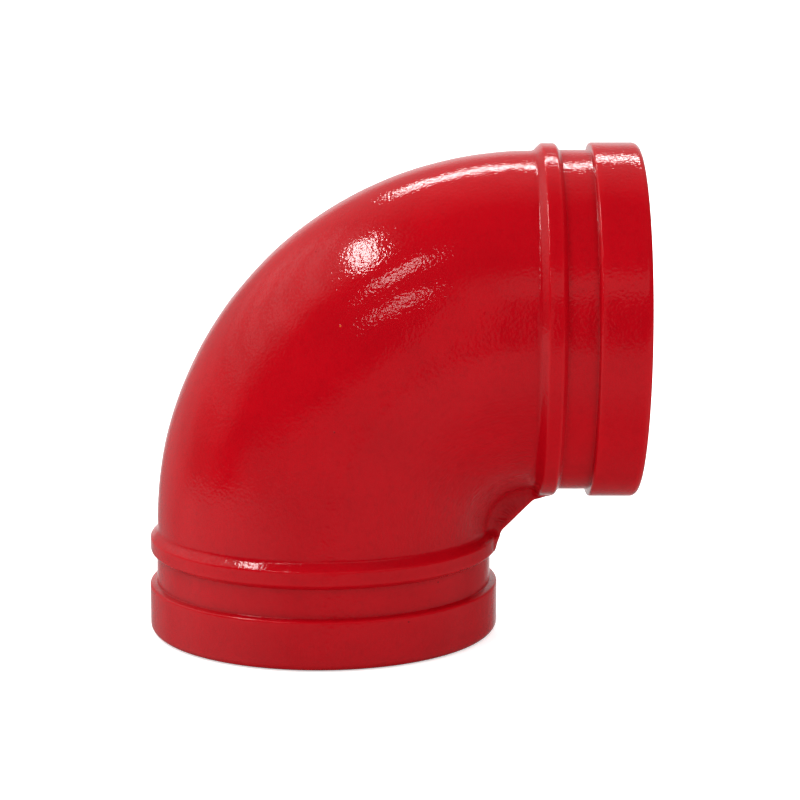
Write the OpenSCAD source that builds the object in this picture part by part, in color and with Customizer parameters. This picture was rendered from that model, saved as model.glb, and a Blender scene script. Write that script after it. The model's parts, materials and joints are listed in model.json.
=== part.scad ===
// Short-pattern 90 degree pipe elbow with two grooved ends, one hollow casting.
//
// The lower end's face lies on the XY plane with its centre at the origin, and
// its axis runs up +Z. The side end's axis runs along +X at the height
// centre_to_end, so the two halves mirror each other across the 45 degree
// plane between the axes. Millimetres.

/* [Pipe size] */
// Outside diameter of the grooved ends, the nominal size's pipe diameter
pipe_od = 114.3; // [112:0.1:118]
// Inside diameter of the waterway, the same through both legs and the bend
bore_d = 100; // [92:0.5:104]
// Distance from each end face to the other end's axis
centre_to_end = 101.6; // [101.2:0.1:112]

/* [Grooved ends] */
// Length of the gasket seat, from the end face to the groove
seat_length = 15.88; // [13:0.01:17]
// Width of the groove's flat bottom, where the coupling's keys sit
groove_width = 9.53; // [8:0.01:10]
// Depth of the groove below the pipe's outside
groove_depth = 2.3; // [1.5:0.01:2.6]
// Radius on the outer edge of each end face
end_rounding = 2.4; // [0.5:0.1:4]
// Chamfer at the mouth of the waterway
mouth_chamfer = 0.8; // [0.2:0.1:1]

/* [Collars] */
// Diameter of the collar behind each groove
collar_d = 113.8; // [112:0.1:114.2]
// Length of the slope from the groove's bottom up to the collar's band
collar_front_slope = 1.5; // [0.5:0.1:2]
// Length of the collar's cylindrical band
collar_band = 4.3; // [3:0.1:5.5]
// Length of the slope from the collar's band down to the body
collar_back_slope = 2.5; // [1:0.1:3]

/* [Bend and throat] */
// Outside diameter of the body between the collars
body_d = 109; // [108:0.1:111]
// Radius of the bend, measured to the middle of the waterway
bend_radius = 66.7; // [62:0.1:66.8]
// Thickness of the flat web that closes the throat between the collars
web_thickness = 16; // [8:1:24]

/* [Hidden] */

$fn = 96;

pipe_r = pipe_od / 2;
bore_r = bore_d / 2;
groove_r = pipe_r - groove_depth;
collar_r = collar_d / 2;
body_r = body_d / 2;

// Stations along each leg's axis, measured inwards from its end face
groove_start = seat_length;
groove_end = seat_length + groove_width;
band_start = groove_end + collar_front_slope;
band_end = band_start + collar_band;
slope_end = band_end + collar_back_slope;
leg_length = centre_to_end - bend_radius;

// Steps in the quarter circle of the rounded outer edge
rounding_steps = 8;
// How far the waterway's cutting solids run past the end faces
cut_past = 1;

// The rounded outer edge, from the end face round to the gasket seat
rounded_edge = [
    for (step = [0 : rounding_steps])
        let (turn = 90 * step / rounding_steps)
            [
                pipe_r - end_rounding + end_rounding * sin(turn),
                end_rounding - end_rounding * cos(turn)
            ]
];

// The outline of one leg: radius against the distance from its end face
leg_outline = concat(
    [[0, 0]],
    rounded_edge,
    [
        [pipe_r, groove_start],
        [groove_r, groove_start],
        [groove_r, groove_end],
        [collar_r, band_start],
        [collar_r, band_end],
        [body_r, slope_end],
        [body_r, leg_length],
        [0, leg_length]
    ]
);

// Moves a leg drawn on the lower end's axis onto the side end's axis, facing +X
module onto_side_end() {
    translate([centre_to_end, 0, centre_to_end])
        rotate([0, -90, 0])
            children();
}

// One leg as a solid bar: rounded edge, gasket seat, groove, collar and body
module leg_solid() {
    rotate_extrude()
        polygon(leg_outline);
}

// A quarter of a ring whose round section has the given radius. It starts at
// the top of the lower leg and ends at the inner end of the side leg.
module bend_solid(section_r) {
    translate([bend_radius, 0, leg_length])
        rotate([90, 0, 0])
            rotate([0, 0, 90])
                rotate_extrude(angle = 90)
                    translate([bend_radius, 0])
                        circle(r = section_r);
}

// The flat web across the throat. Its free edge is a straight 45 degree line
// from the lower collar's edge to the side collar's edge, and the rest of it
// is buried in the legs and the bend.
module throat_web() {
    far = centre_to_end - band_end;
    rotate([90, 0, 0])
        linear_extrude(height = web_thickness, center = true)
            polygon([
                [bore_r / 2, band_end],
                [collar_r, band_end],
                [far, centre_to_end - collar_r],
                [far, centre_to_end - bore_r / 2]
            ]);
}

// One leg's length of waterway with the chamfer at its mouth
module leg_bore() {
    translate([0, 0, -cut_past])
        cylinder(r = bore_r, h = leg_length + cut_past);
    translate([0, 0, -cut_past])
        cylinder(
            r1 = bore_r + mouth_chamfer + cut_past,
            r2 = bore_r,
            h = mouth_chamfer + cut_past
        );
}

// The whole waterway: straight, bend, straight
module waterway() {
    leg_bore();
    bend_solid(bore_r);
    onto_side_end()
        leg_bore();
}

// The casting, with the coating that is fused to it
module elbow_casting() {
    color([0.72, 0.06, 0.09])
        difference() {
            union() {
                leg_solid();
                bend_solid(body_r);
                onto_side_end()
                    leg_solid();
                throat_web();
            }
            waterway();
        }
}

elbow_casting();
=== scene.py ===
"""Looks of a short-pattern grooved pipe elbow: one hollow casting under a glossy red coating.

Everything Blender gets is in metres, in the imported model's frame: the lower end's face is centred on
the origin with its axis along +Z, and the side end's axis runs along +X. The casting's own shape is
worked out in millimetres, because its dimensions are round numbers there.
"""

import json
import math

import bpy
import numpy as np
from mathutils import Matrix, Vector, noise


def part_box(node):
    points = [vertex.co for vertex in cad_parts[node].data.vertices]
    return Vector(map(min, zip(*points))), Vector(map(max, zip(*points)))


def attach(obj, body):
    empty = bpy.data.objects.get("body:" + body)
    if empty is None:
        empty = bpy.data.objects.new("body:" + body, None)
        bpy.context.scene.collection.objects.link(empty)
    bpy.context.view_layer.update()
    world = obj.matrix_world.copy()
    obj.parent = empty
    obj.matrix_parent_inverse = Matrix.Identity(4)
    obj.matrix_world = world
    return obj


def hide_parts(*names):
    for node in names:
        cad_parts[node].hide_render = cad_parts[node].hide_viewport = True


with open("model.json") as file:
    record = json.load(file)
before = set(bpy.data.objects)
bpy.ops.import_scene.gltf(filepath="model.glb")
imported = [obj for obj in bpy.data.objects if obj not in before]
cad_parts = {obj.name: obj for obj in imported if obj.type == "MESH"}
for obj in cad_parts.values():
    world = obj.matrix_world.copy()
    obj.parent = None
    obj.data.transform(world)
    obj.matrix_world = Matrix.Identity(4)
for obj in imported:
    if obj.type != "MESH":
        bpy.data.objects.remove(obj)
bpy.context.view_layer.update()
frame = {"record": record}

NODE = "elbow_casting"
MM = 0.001
SCENE = bpy.context.scene

# ---------------------------------------------------------------------------
# Driving dimensions, in millimetres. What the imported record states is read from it.
# ---------------------------------------------------------------------------
MOUNTS = {mount["name"]: mount for mount in frame["record"]["mounts"]}
PIPE_R = MOUNTS["lower_seat"]["dims"]["r_mm"]
BORE_R = MOUNTS["lower_bore"]["dims"]["r_mm"]
GROOVE_R = MOUNTS["lower_groove"]["dims"]["r_mm"]
GROOVE_WIDTH = MOUNTS["lower_groove"]["dims"]["length_mm"]
CENTRE_TO_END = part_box(NODE)[1][0] / MM

SEAT_LENGTH = 15.88
COLLAR_R = 56.9
COLLAR_FRONT_SLOPE = 1.5
COLLAR_BAND = 4.3
COLLAR_BACK_SLOPE = 2.5
BODY_R = 54.5
BEND_RADIUS = 66.7
LEG = CENTRE_TO_END - BEND_RADIUS
BEND_ARC = BEND_RADIUS * math.pi / 2
PATH = 2 * LEG + BEND_ARC

GROOVE_END = SEAT_LENGTH + GROOVE_WIDTH
BAND_START = GROOVE_END + COLLAR_FRONT_SLOPE
BAND_END = BAND_START + COLLAR_BAND
SLOPE_END = BAND_END + COLLAR_BACK_SLOPE

# The chamfer and the roundings of the casting's corners
MOUTH_CHAMFER = 0.8
MOUTH_ROUND = 0.5
END_ROUND = 2.4
LIP_ROUND = 0.8
GROOVE_ROUND = 0.32
COLLAR_ROUND = 1.2
BODY_ROUND = 2.0
# The groove's wall on the seat's side leaves the lip this far before the seat's end and reaches the
# groove's bottom this far after it
WALL_BEFORE = 0.15
WALL_AFTER = 0.25

# The flat web across the throat
WEB_HALF = 8.0
WEB_DRAFT = math.tan(math.radians(3))
WEB_EDGE_ROUND = 2.2
WEB_FILLET = 4.5
# Its outline is looked for between these heights over the pipe, by halving the range this often
WEB_LOWEST = -0.5
WEB_HIGHEST = 14
HALVINGS = 40

# How the surface is divided: degrees round the pipe, and the fine window that holds the web
AROUND_STEP = 1.8
WINDOW = math.radians(16)
WINDOW_COLUMNS = 90
WINDOW_SAMPLES = 1601
BEND_RINGS = 90
BORE_BEND_RINGS = 45
LONGEST_STEP = 1.6

# The as-cast skin's unevenness: its height, and the sizes of its broad swells and small dimples
WAVE_HEIGHT = 0.14
BROAD_WAVE = 26.0
SMALL_WAVE = 6.5
SMALL_WAVE_SHARE = 0.45
# The dimples' noise is read this far from the swells', so that the two don't line up
SMALL_WAVE_SHIFT = 40.0
# Lengths over which the as-cast skin and the body's look come in
SKIN_RUN_IN = 4
BODY_RUN_IN = 8
# Where the throat's look starts, and how far it takes to come in, as the cosine of the angle from
# the bend's inside
THROAT_START = 0.15
THROAT_SPAN = 0.5
# How strongly a curvature of one per millimetre counts as an edge or a hollow
BEND_GAIN = 1.2

# Sizes of the noise that varies the colours and the gloss, in millimetres
TONE_SIZE = 22.0
FLECK_SIZE = 2.2
SPECKLE_SIZE = 0.9
DULL_SIZE = 3.0
MOTTLE_SIZE = 60.0

# The coating's relief: sizes and spacing in millimetres, heights as shares of a unit that is in
# millimetres too. Streaks are noise shrunk along the pipe, and a nib's radius is a share of the
# spacing.
RELIEF_UNIT = 0.055
PEEL_SIZE = 0.95
PEEL_ON_ENDS = 1.6
PEEL_ON_BODY = 1.25
SWELL_SIZE = 4.5
SWELL_SHARE = 0.8
STREAK_SIZE = 0.75
STREAK_STRETCH = 0.10
STREAK_SHARE = 7.5
NIB_SPACING = 14.0
NIB_RADIUS = 0.028
NIB_SHARE = 1.2

# The coating's gloss
COAT_WEIGHT = 0.85
COAT_ROUGHNESS = 0.075
COATING_IOR = 1.5

# Colours of the coating
BRIGHT_RED = (0.412, 0.0012, 0.0056, 1)
DEEP_RED = (0.375, 0.0010, 0.0050, 1)
DARK_RED = (0.320, 0.0010, 0.0048, 1)
# Painted shade: the colour the hollows are darkened towards, broken into speckles
PAINTED_SHADE_RED = (0.210, 0.0007, 0.0026, 1)
# Painted highlight: the colour the convex edges are lightened towards
PAINTED_HIGHLIGHT_RED = (0.500, 0.0040, 0.0080, 1)
BORE_RED = (0.270, 0.0030, 0.0060, 1)
NIB_ORANGE = (0.620, 0.1200, 0.0200, 1)
NIB_DARK = (0.080, 0.0030, 0.0040, 1)

# Powers of the lights in watts
BEHIND_POWER = 3.3
LEFT_POWER = 3.1
FRONT_HIGH_POWER = 0.62
FRONT_LOW_POWER = 0.26

# Brightness of the surroundings as matt light: from right and left, from behind and in front, and
# from above and below
MATT_FROM = ((0.75, 0.82), (1.20, 0.0), (1.36, 0.80))

# Glow of the floor under the elbow, and the distances in millimetres between which it rises to
# plain white
FLOOR_GLOW = 0.55
GLOW_START = 100
GLOW_FULL = 600
# Half the floor's width, and how far it lies under the end face so that the two don't share a
# plane, in metres
FLOOR_HALF = 3.0
FLOOR_DROP = 0.0001

# Brightness of what the coating mirrors
ROOM = 0.02
BACKDROP = 0.33
STRAIGHT_BEHIND = 0.85
LEFT_WALL = 0.66
TABLE = 0.26
TABLE_FAR_LEFT = 0.50
PALE_BAND = 0.34
SCREEN = 0.22

# Where their brightness changes, as the x, y or z part of a unit direction: (from, to). The table's
# edge rises by its tilt to either side, and the screen's top steps from one height to another.
BACKDROP_Y = (-0.05, 0.50)
BACKDROP_X = (0.80, 0.35)
BACKDROP_Z = (-0.85, -0.30)
STRAIGHT_BEHIND_Y = (0.85, 0.96)
LEFT_WALL_X = (-0.40, -0.58)
LEFT_WALL_Y = (-0.32, -0.02)
LEFT_WALL_Z = (0.10, 0.55)
TABLE_EDGE = (-0.18, -0.22)
TABLE_TILT = 0.17
TABLE_X = (-0.30, -0.90)
TABLE_DEEP_Z = (-0.60, -0.88)
TABLE_SHADE_Y = (0.15, 0.50)
IN_FRONT_Y = (-0.35, -0.55)
BAND_BOTTOM_Z = (0.35, 0.38)
BAND_TOP_Z = (0.61, 0.58)
BAND_X = (-0.10, -0.02)
SCREEN_STEP_X = (-0.22, -0.16)
SCREEN_TOP_LEFT = 0.13
SCREEN_TOP_RIGHT = 0.63
SCREEN_BORDER = (-0.04, 0.06)
SCREEN_X = (0.05, 0.0)
# The left wall's slats: radians of a sine per unit of height, and their darkest and lightest
WALL_SLATS = 57.0
SLAT_RANGE = (0.60, 1.40)

# Each light's two ends lie on a sphere round a point inside the elbow, in metres
LIGHTS_CENTRE = (0.02, 0, 0.09)
LIGHT_DISTANCE = 1.25

# The camera's place and target in metres, and its lens and sensor in millimetres
CAMERA_PLACE = (0.0301, -0.7005, 0.1935)
CAMERA_TARGET = (0.0252, 0, 0.0751)
CAMERA_LENS = 97.87
CAMERA_SENSOR = 36

WHITE = (1, 1, 1, 1)


# ---------------------------------------------------------------------------
# Small tools
# ---------------------------------------------------------------------------
def smooth_step(x):
    """0 to 1 with level ends."""
    x = np.clip(x, 0, 1)
    return x * x * (3 - 2 * x)


def soft_min(a, b, width):
    """The smaller of two distances, blended where they are within width of each other."""
    h = np.clip(width - np.abs(a - b), 0, None) / width
    return np.minimum(a, b) - h * h * width / 4


def soft_max(a, b, width):
    """The larger of two distances, blended the same way."""
    return -soft_min(-a, -b, width)


def rounded(corners, steps=6):
    """The points of an outline through corners (radius, station, rounding), each corner an arc."""
    points = [np.array(corners[0][:2])]
    for before, corner, after in zip(corners, corners[1:], corners[2:]):
        here = np.array(corner[:2])
        if corner[2] == 0:
            points.append(here)
            continue
        back = np.array(before[:2]) - here
        ahead = np.array(after[:2]) - here
        back /= np.linalg.norm(back)
        ahead /= np.linalg.norm(ahead)
        half = math.acos(np.clip(back @ ahead, -1, 1)) / 2
        reach = corner[2] / math.tan(half)
        middle = here + (back + ahead) / np.linalg.norm(back + ahead) * corner[2] / math.sin(half)
        first = here + back * reach - middle
        last = here + ahead * reach - middle
        swing = math.acos(np.clip(first @ last / corner[2] ** 2, -1, 1))
        for step in range(steps + 1):
            share = step / steps
            mix = math.sin((1 - share) * swing) * first + math.sin(share * swing) * last
            points.append(middle + mix / math.sin(swing))
    points.append(np.array(corners[-1][:2]))
    return points


def divided(points, longest):
    """The same outline with no step longer than longest."""
    result = [points[0]]
    for start, end in zip(points, points[1:]):
        count = max(1, math.ceil(np.linalg.norm(end - start) / longest))
        result += [start + (end - start) * (k + 1) / count for k in range(count)]
    return np.array(result)


# ---------------------------------------------------------------------------
# The casting's surface: rings along the pipe's path, each a closed loop of columns
# ---------------------------------------------------------------------------
def leg_outline():
    """One leg from inside its bore, round the end face and out to the body: (radius, station)."""
    corners = [
        (BORE_R, LEG, 0),
        (BORE_R, MOUTH_CHAMFER, MOUTH_ROUND),
        (BORE_R + MOUTH_CHAMFER, 0, MOUTH_ROUND),
        (PIPE_R, 0, END_ROUND),
        (PIPE_R, SEAT_LENGTH - WALL_BEFORE, LIP_ROUND),
        (GROOVE_R, SEAT_LENGTH + WALL_AFTER, GROOVE_ROUND),
        (GROOVE_R, GROOVE_END, GROOVE_ROUND),
        (COLLAR_R, BAND_START, COLLAR_ROUND),
        (COLLAR_R, BAND_END, COLLAR_ROUND),
        (BODY_R, SLOPE_END, BODY_ROUND),
        (BODY_R, LEG, 0),
    ]
    return divided(rounded(corners), LONGEST_STEP)


def ring_list():
    """Every ring as (path position, radius, inside), in one closed loop round the wall's section."""
    leg = leg_outline()
    inside_leg = leg[:, 0] < BORE_R + 0.01
    rings = [(t, r, inner) for (r, t), inner in zip(leg, inside_leg)]
    for k in range(1, BEND_RINGS):
        rings.append((LEG + BEND_ARC * k / BEND_RINGS, BODY_R, False))
    rings += [(PATH - t, r, inner) for (r, t), inner in zip(leg[::-1], inside_leg[::-1])]
    for k in range(BORE_BEND_RINGS - 1, 0, -1):
        rings.append((LEG + BEND_ARC * k / BORE_BEND_RINGS, BORE_R, True))
    return rings


def section_frame(s):
    """The centre of the pipe's section at path position s, and its direction to the bend's inside."""
    if s <= LEG:
        return np.array([0, 0, s]), np.array([1.0, 0, 0])
    if s >= LEG + BEND_ARC:
        return np.array([CENTRE_TO_END - (PATH - s), 0, CENTRE_TO_END]), np.array([0, 0, -1.0])
    turn = (s - LEG) / BEND_RADIUS
    inward = np.array([math.cos(turn), 0, -math.sin(turn)])
    return np.array([BEND_RADIUS, 0, LEG]) - BEND_RADIUS * inward, inward


def web_distance(centre, inward, angle, radius):
    """How far outside the web a point of a section lies, negative inside it."""
    across = radius * np.cos(angle)
    x = centre[0] + across * inward[0]
    z = centre[2] + across * inward[2]
    y = np.abs(radius * np.sin(angle))
    past_edge = (x - z - (COLLAR_R - BAND_END)) / math.sqrt(2)
    past_side = y - (WEB_HALF - WEB_DRAFT * past_edge)
    return soft_max(past_edge, past_side, WEB_EDGE_ROUND)


def with_web(s, radius, angle):
    """The radius of the casting's outside at each angle of a section, web and fillets included."""
    centre, inward = section_frame(s)
    low = np.full_like(angle, radius + WEB_LOWEST)
    high = np.full_like(angle, radius + WEB_HIGHEST)
    for _ in range(HALVINGS):
        middle = (low + high) / 2
        wall = middle - radius
        web = web_distance(centre, inward, angle, middle)
        solid = soft_min(wall, web, WEB_FILLET) < 0
        low = np.where(solid, middle, low)
        high = np.where(solid, high, middle)
    return (low + high) / 2


def ring_columns(s, radius, inside):
    """Angles and radii of one ring's columns.

    They are spread evenly along the outline in the window that holds the web, and at equal angles
    round the rest.
    """
    edge = math.degrees(WINDOW)
    count = round((360 - 2 * edge) / AROUND_STEP)
    plain = np.radians(np.linspace(edge, 360 - edge, count + 1))
    fine = np.linspace(-WINDOW, WINDOW, WINDOW_SAMPLES)
    near_web = not inside and BAND_START < s < PATH - BAND_START
    reach = with_web(s, radius, fine) if near_web else np.full_like(fine, radius)
    steps = np.hypot(np.diff(reach * np.cos(fine)), np.diff(reach * np.sin(fine)))
    length = np.concatenate([[0], np.cumsum(steps)])
    even = np.linspace(0, length[-1], WINDOW_COLUMNS + 1)[1:-1]
    window_angle = np.interp(even, length, fine)
    window_reach = np.interp(window_angle, fine, reach)
    angle = np.concatenate([window_angle, plain])
    return angle, np.concatenate([window_reach, np.full(len(plain), radius)])


def surface_points(rings):
    """The casting's vertices as an array (ring, column, xyz) in millimetres, and their angles."""
    points, angles = [], []
    for s, radius, inside in rings:
        angle, reach = ring_columns(s, radius, inside)
        centre, inward = section_frame(s)
        side = np.array([0, 1.0, 0])
        offset = np.cos(angle)[:, None] * inward + np.sin(angle)[:, None] * side
        points.append(centre + reach[:, None] * offset)
        angles.append(angle)
    return np.array(points), np.array(angles)


def grid_normals(points):
    """Unit normals of a grid that closes in both directions."""
    along = np.roll(points, -1, axis=0) - np.roll(points, 1, axis=0)
    around = np.roll(points, -1, axis=1) - np.roll(points, 1, axis=1)
    normal = np.cross(around, along)
    return normal / np.linalg.norm(normal, axis=2, keepdims=True)


def cast_waviness(points):
    """Unevenness of the as-cast skin at each point, about -1 to 1: broad swells and small dimples."""
    flat = points.reshape(-1, 3)
    value = [
        noise.noise(Vector(p / BROAD_WAVE))
        + SMALL_WAVE_SHARE * noise.noise(Vector(p / SMALL_WAVE + SMALL_WAVE_SHIFT))
        for p in flat
    ]
    return np.array(value).reshape(points.shape[:2])


def build_casting():
    """The elbow as one closed mesh, with attributes that say where its edges and hollows are."""
    rings = ring_list()
    points, angles = surface_points(rings)
    normals = grid_normals(points)

    station = np.array([min(s, PATH - s) for s, _, _ in rings])
    inside = np.array([inner for _, _, inner in rings])
    rough_skin = smooth_step((station - SEAT_LENGTH) / SKIN_RUN_IN)
    lift = WAVE_HEIGHT * rough_skin[:, None] * cast_waviness(points)
    points = points + normals * lift[:, :, None]

    vertex_rings, columns = points.shape[:2]
    vertices = (points.reshape(-1, 3) * MM).tolist()
    index = np.arange(vertex_rings * columns).reshape(vertex_rings, columns)
    right = np.roll(index, -1, axis=1)
    ahead = np.roll(index, -1, axis=0)
    diagonal = np.roll(ahead, -1, axis=1)
    quads = np.stack([index, right, diagonal, ahead], axis=2).reshape(-1, 4)

    mesh = bpy.data.meshes.new("elbow_casting_skin")
    mesh.from_pydata(vertices, [], quads.tolist())
    mesh.polygons.foreach_set("use_smooth", np.ones(len(quads), dtype=bool))
    mesh.update()
    mesh.validate()

    bends = curvature(points, normals)
    attribute(mesh, "edge", np.clip(-bends * BEND_GAIN, 0, 1))
    attribute(mesh, "hollow", np.clip(bends * BEND_GAIN, 0, 1))
    attribute(mesh, "bore", np.repeat(inside.astype(float)[:, None], columns, axis=1))
    body = smooth_step((station - BAND_END) / BODY_RUN_IN)[:, None]
    attribute(mesh, "cast", np.repeat(body, columns, axis=1))
    attribute(mesh, "throat", body * smooth_step((np.cos(angles) - THROAT_START) / THROAT_SPAN))
    position = np.array([s for s, _, _ in rings])
    attribute(mesh, "along", np.repeat(position[:, None], columns, axis=1))
    attribute(mesh, "across", BODY_R * np.cos(angles))

    casting = bpy.data.objects.new("elbow_casting_skin", mesh)
    SCENE.collection.objects.link(casting)
    return casting


def curvature(points, normals):
    """How hollow (positive) or edge-like (negative) the surface is at each vertex, per millimetre."""
    total = np.zeros(points.shape[:2])
    for axis in (0, 1):
        for shift in (-1, 1):
            to_next = np.roll(points, shift, axis=axis) - points
            square = np.clip((to_next ** 2).sum(axis=2), 1e-6, None)
            total += (to_next * normals).sum(axis=2) / square
    return total


def attribute(mesh, name, values):
    """Stores one number per vertex for the materials to read."""
    layer = mesh.attributes.new(name, "FLOAT", "POINT")
    layer.data.foreach_set("value", values.reshape(-1).astype(np.float32))


# ---------------------------------------------------------------------------
# Materials
# ---------------------------------------------------------------------------
class Nodes:
    """A short way to write the node tree of a material or of the world."""

    def __init__(self, tree):
        self.tree = tree

    def add(self, kind, **settings):
        """A new node with the given properties."""
        node = self.tree.nodes.new(kind)
        for name, value in settings.items():
            setattr(node, name, value)
        return node

    def link(self, source, target):
        """Joins an output to a socket."""
        self.tree.links.new(source, target)

    def math(self, operation, a, b=0.0, clamp=False):
        """One operation on two values."""
        node = self.add("ShaderNodeMath", operation=operation, use_clamp=clamp)
        for socket, value in zip(node.inputs, (a, b)):
            self.put(socket, value)
        return node.outputs[0]

    def put(self, socket, value):
        """Links an output to a socket, or writes a number or colour into it."""
        if isinstance(value, bpy.types.NodeSocket):
            self.link(value, socket)
        else:
            socket.default_value = value

    def mix(self, share, first, second):
        """A colour between first and second."""
        node = self.add("ShaderNodeMix", data_type="RGBA")
        self.put(node.inputs["Factor"], share)
        self.put(node.inputs["A"], first)
        self.put(node.inputs["B"], second)
        return node.outputs["Result"]

    def product(self, *values):
        """All the values multiplied, from the left."""
        result = values[0]
        for value in values[1:]:
            result = self.math("MULTIPLY", result, value)
        return result

    def remap(self, value, low, high, to_low, to_high):
        """A value moved from one range to another, and held at the ends."""
        node = self.add("ShaderNodeMapRange")
        for name, number in (
            ("Value", value),
            ("From Min", low),
            ("From Max", high),
            ("To Min", to_low),
            ("To Max", to_high),
        ):
            self.put(node.inputs[name], number)
        return node.outputs[0]

    def noise(self, place, size, detail=2.0, roughness=0.5):
        """Noise whose bumps are about size millimetres wide, 0 to 1."""
        node = self.add("ShaderNodeTexNoise")
        self.link(place, node.inputs["Vector"])
        node.inputs["Scale"].default_value = 1 / size
        node.inputs["Detail"].default_value = detail
        node.inputs["Roughness"].default_value = roughness
        return node.outputs["Fac"]

    def nibs(self, place, spacing, radius):
        """Rare round grains of dust: where they are, 0 to 1, and a number that differs between them."""
        node = self.add("ShaderNodeTexVoronoi")
        self.link(place, node.inputs["Vector"])
        node.inputs["Scale"].default_value = 1 / spacing
        pick = self.add("ShaderNodeSeparateColor")
        self.link(node.outputs["Color"], pick.inputs[0])
        grain = self.remap(node.outputs["Distance"], radius, radius * 0.6, 0.0, 1.0)
        return grain, pick.outputs[1]

    def along_the_pipe(self, place, stretch):
        """A place vector whose first part runs along the pipe, shrunk so that noise streaks that way."""
        parts = self.add("ShaderNodeSeparateXYZ")
        self.link(place, parts.inputs[0])
        joined = self.add("ShaderNodeCombineXYZ")
        self.link(self.math("MULTIPLY", self.read("along"), stretch), joined.inputs[0])
        self.link(parts.outputs[1], joined.inputs[1])
        self.link(self.read("across"), joined.inputs[2])
        return joined.outputs[0]

    def read(self, name):
        """A vertex attribute."""
        return self.add("ShaderNodeAttribute", attribute_name=name).outputs["Fac"]


def new_material(name):
    """An empty material, its node helper, its shader and a place vector in millimetres."""
    material = bpy.data.materials.new(name)
    material.use_nodes = True
    tree = material.node_tree
    nodes = Nodes(tree)
    shader = tree.nodes["Principled BSDF"]
    place = nodes.add("ShaderNodeTexCoord").outputs["Object"]
    scale = nodes.add("ShaderNodeVectorMath", operation="SCALE")
    nodes.link(place, scale.inputs[0])
    scale.inputs["Scale"].default_value = 1 / MM
    return material, nodes, shader, scale.outputs["Vector"]


def red_enamel():
    """Glossy red coating: orange peel, painted highlight on the edges, painted shade in the hollows, a
    darker bore, and grains of dust.

    All the gloss comes from the coat. The base mirrors nothing, because its wide highlights would
    mix in the surroundings' matt light.
    """
    material, n, shader, place = new_material("red_enamel")
    edge = n.read("edge")
    hollow = n.read("hollow")
    bore = n.read("bore")
    cast = n.read("cast")
    throat = n.read("throat")

    tone = n.noise(place, TONE_SIZE, 3.0)
    fleck = n.noise(place, FLECK_SIZE, 4.0, 0.65)
    colour = n.mix(n.remap(tone, 0.35, 0.65, 0.0, 1.0), DEEP_RED, BRIGHT_RED)
    colour = n.mix(n.remap(fleck, 0.50, 0.75, 0.0, 0.6), colour, DARK_RED)
    # Painted shade: the hollows are darkened, broken into speckles
    speckled = n.remap(n.noise(place, SPECKLE_SIZE, 2.0, 0.6), 0.42, 0.62, 0.15, 1.0)
    painted_shade = n.math("MULTIPLY", n.product(hollow, 0.35), speckled, clamp=True)
    colour = n.mix(painted_shade, colour, PAINTED_SHADE_RED)
    # Painted highlight: the convex edges are lightened
    colour = n.mix(n.math("MULTIPLY", edge, 0.25, clamp=True), colour, PAINTED_HIGHLIGHT_RED)
    colour = n.mix(n.math("MULTIPLY", bore, 0.5), colour, BORE_RED)
    nib, nib_pick = n.nibs(place, NIB_SPACING, NIB_RADIUS)
    orange = n.math("MULTIPLY", nib, n.remap(nib_pick, 0.5, 0.55, 0.0, 0.8))
    dark = n.math("MULTIPLY", nib, n.remap(nib_pick, 0.5, 0.45, 0.0, 0.7))
    colour = n.mix(orange, colour, NIB_ORANGE)
    colour = n.mix(dark, colour, NIB_DARK)
    n.link(colour, shader.inputs["Base Color"])

    dull = n.noise(place, DULL_SIZE, 3.0, 0.6)
    n.link(n.remap(dull, 0.3, 0.7, 0.30, 0.42), shader.inputs["Roughness"])

    peel = n.noise(place, PEEL_SIZE, 1.0)
    swell = n.noise(place, SWELL_SIZE, 1.0)
    streaks = n.noise(n.along_the_pipe(place, STREAK_STRETCH), STREAK_SIZE, 2.0)
    height = n.math("MULTIPLY", peel, n.remap(cast, 0.0, 1.0, PEEL_ON_ENDS, PEEL_ON_BODY))
    for relief in (
        n.product(swell, SWELL_SHARE),
        n.product(streaks, throat, STREAK_SHARE),
        n.product(nib, NIB_SHARE),
    ):
        height = n.math("ADD", height, relief)
    bump = n.add("ShaderNodeBump")
    bump.inputs["Strength"].default_value = 1.0
    bump.inputs["Distance"].default_value = RELIEF_UNIT * MM
    n.link(height, bump.inputs["Height"])
    n.link(bump.outputs[0], shader.inputs["Normal"])
    n.link(bump.outputs[0], shader.inputs["Coat Normal"])

    shader.inputs["IOR"].default_value = COATING_IOR
    shader.inputs["Specular IOR Level"].default_value = 0.0
    shader.inputs["Coat Weight"].default_value = COAT_WEIGHT
    shader.inputs["Coat Roughness"].default_value = COAT_ROUGHNESS
    shader.inputs["Coat IOR"].default_value = COATING_IOR
    return material


def pale_floor():
    """Plain off-white studio floor with a faint mottle.

    It glows for the camera alone, more with the distance from the elbow, so that no horizon shows.
    """
    material, n, shader, place = new_material("pale_floor")
    mottle = n.noise(place, MOTTLE_SIZE, 3.0)
    shade = n.mix(mottle, (0.90, 0.90, 0.90, 1), (0.94, 0.94, 0.94, 1))
    n.link(shade, shader.inputs["Base Color"])
    n.link(n.remap(mottle, 0.3, 0.7, 0.6, 0.8), shader.inputs["Roughness"])
    length = n.add("ShaderNodeVectorMath", operation="LENGTH")
    n.link(place, length.inputs[0])
    camera_ray = n.add("ShaderNodeLightPath").outputs["Is Camera Ray"]
    glow = n.remap(length.outputs["Value"], GLOW_START, GLOW_FULL, FLOOR_GLOW, 1.0)
    n.link(n.math("MULTIPLY", glow, camera_ray), shader.inputs["Emission Strength"])
    shader.inputs["Emission Color"].default_value = WHITE
    return material


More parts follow.
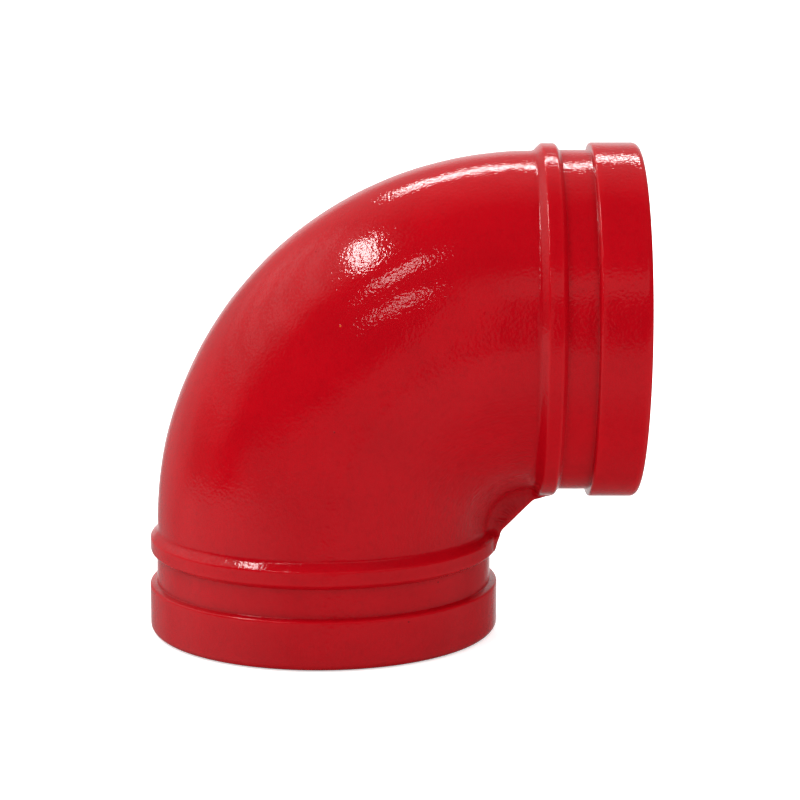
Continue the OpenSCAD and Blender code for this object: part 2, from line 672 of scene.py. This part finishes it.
# ---------------------------------------------------------------------------
# Stage, lights and camera
# ---------------------------------------------------------------------------
def add_floor():
    """A large pale floor under the lower end. The coating mirrors the surroundings' table instead."""
    near, far = -FLOOR_HALF, FLOOR_HALF
    mesh = bpy.data.meshes.new("floor")
    corners = [(near, near, 0), (far, near, 0), (far, far, 0), (near, far, 0)]
    mesh.from_pydata(corners, [], [(0, 1, 2, 3)])
    floor = bpy.data.objects.new("floor", mesh)
    SCENE.collection.objects.link(floor)
    floor.location.z = -FLOOR_DROP
    floor.visible_glossy = False
    floor.data.materials.append(pale_floor())


def look_at(item, target):
    """Turns a camera or a light so that it faces target."""
    direction = Vector(target) - item.location
    item.rotation_euler = direction.to_track_quat("-Z", "Y").to_euler()


def panel_light(name, start, end, width, power):
    """A soft rectangular light whose long middle line runs between two directions from the elbow."""
    middle = Vector(LIGHTS_CENTRE)
    first = middle + Vector(start).normalized() * LIGHT_DISTANCE
    last = middle + Vector(end).normalized() * LIGHT_DISTANCE
    along = (last - first).normalized()
    centre = (first + last) / 2
    away = (centre - middle).normalized()
    across = away.cross(along).normalized()
    away = along.cross(across)

    data = bpy.data.lights.new(name, "AREA")
    data.shape = "RECTANGLE"
    data.size = (last - first).length
    data.size_y = width
    data.energy = power
    light = bpy.data.objects.new(name, data)
    SCENE.collection.objects.link(light)
    turn = Matrix((along, across, away)).transposed().to_4x4()
    light.matrix_world = Matrix.Translation(centre) @ turn


def add_lights():
    """A long softbox high behind the elbow, a window to the left and two weak panels front left."""
    panel_light("behind", (-0.31, 0.62, 0.72), (0.36, 0.62, 0.70), 0.072, BEHIND_POWER)
    panel_light("left", (-0.53, 0.11, 0.84), (-0.535, -0.24, 0.81), 0.11, LEFT_POWER)
    panel_light("front_left_high", (-0.50, -0.53, 0.69), (-0.31, -0.48, 0.82), 0.085, FRONT_HIGH_POWER)
    panel_light("front_left_low", (-0.42, -0.74, 0.53), (-0.26, -0.79, 0.55), 0.07, FRONT_LOW_POWER)


def add_world():
    """Soft surroundings: one layout of brightness for matt light and one for what the gloss mirrors.

    The matt light is strongest from above and behind. The coating mirrors a pale backdrop that is
    brightest straight behind, a slatted pale wall to the left, a dim table top, and in front a dark
    room with a pale band and a large dim screen. The camera sees plain white.
    """
    world = bpy.data.worlds.new("studio")
    SCENE.world = world
    world.use_nodes = True
    n = Nodes(world.node_tree)
    background = world.node_tree.nodes["Background"]
    direction = n.add("ShaderNodeTexCoord").outputs["Generated"]
    parts = n.add("ShaderNodeSeparateXYZ")
    n.link(direction, parts.inputs[0])
    x, y, z = parts.outputs

    matt = 0.0
    for part, (ahead, behind) in zip((x, y, z), MATT_FROM):
        matt = n.math("ADD", matt, n.product(n.math("MAXIMUM", part, 0.0), ahead))
        matt = n.math("ADD", matt, n.product(n.math("MINIMUM", part, 0.0), -behind))

    backdrop = n.product(
        n.remap(y, *BACKDROP_Y, 0.0, BACKDROP),
        n.remap(x, *BACKDROP_X, 0.0, 1.0),
        n.remap(z, *BACKDROP_Z, 0.1, 1.0),
    )
    straight_behind = n.remap(y, *STRAIGHT_BEHIND_Y, 0.0, STRAIGHT_BEHIND)
    slats = n.math("SINE", n.product(z, WALL_SLATS))
    left_wall = n.product(
        n.remap(x, *LEFT_WALL_X, 0.0, LEFT_WALL),
        n.remap(z, *LEFT_WALL_Z, 0.2, 1.0),
        n.remap(y, *LEFT_WALL_Y, 0.0, 1.0),
        n.remap(slats, -1.0, 1.0, *SLAT_RANGE),
    )
    below = n.math("SUBTRACT", z, n.product(n.math("ABSOLUTE", x), TABLE_TILT))
    table = n.product(
        n.remap(below, *TABLE_EDGE, 0.0, 1.0),
        n.remap(x, *TABLE_X, TABLE, TABLE_FAR_LEFT),
        n.remap(z, *TABLE_DEEP_Z, 1.0, 0.45),
        n.remap(y, *TABLE_SHADE_Y, 1.0, 0.6),
    )
    in_front = n.remap(y, *IN_FRONT_Y, 0.0, 1.0)
    band = n.product(
        n.remap(z, *BAND_BOTTOM_Z, 0.0, PALE_BAND),
        n.remap(z, *BAND_TOP_Z, 0.0, 1.0),
        n.product(in_front, n.remap(x, *BAND_X, 0.0, 1.0)),
    )
    screen_top = n.remap(x, *SCREEN_STEP_X, SCREEN_TOP_LEFT, SCREEN_TOP_RIGHT)
    screen = n.product(
        n.remap(n.math("SUBTRACT", screen_top, z), *SCREEN_BORDER, 0.0, SCREEN),
        n.product(in_front, n.remap(x, *SCREEN_X, 0.0, 1.0)),
    )
    mirrored = ROOM
    for surface in (backdrop, straight_behind, left_wall, table, band, screen):
        mirrored = n.math("MAXIMUM", surface, mirrored)

    path = n.add("ShaderNodeLightPath")
    glossy = path.outputs["Is Glossy Ray"]
    seen = n.product(matt, n.math("SUBTRACT", 1.0, glossy))
    seen = n.math("ADD", seen, n.product(mirrored, glossy))
    n.link(n.math("MAXIMUM", seen, path.outputs["Is Camera Ray"]), background.inputs["Strength"])
    background.inputs["Color"].default_value = WHITE


def add_camera():
    """The camera at the photograph's viewing angle: a little above the elbow's top, looking down."""
    data = bpy.data.cameras.new("camera")
    data.sensor_width = CAMERA_SENSOR
    data.lens = CAMERA_LENS
    camera = bpy.data.objects.new("camera", data)
    SCENE.collection.objects.link(camera)
    camera.location = CAMERA_PLACE
    look_at(camera, CAMERA_TARGET)
    SCENE.camera = camera


# ---------------------------------------------------------------------------
# Build
# ---------------------------------------------------------------------------
add_camera()
add_world()
add_lights()
add_floor()

casting = build_casting()
casting.data.materials.append(red_enamel())
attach(casting, "root")
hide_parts(NODE)

SCENE.view_settings.view_transform = "Standard"
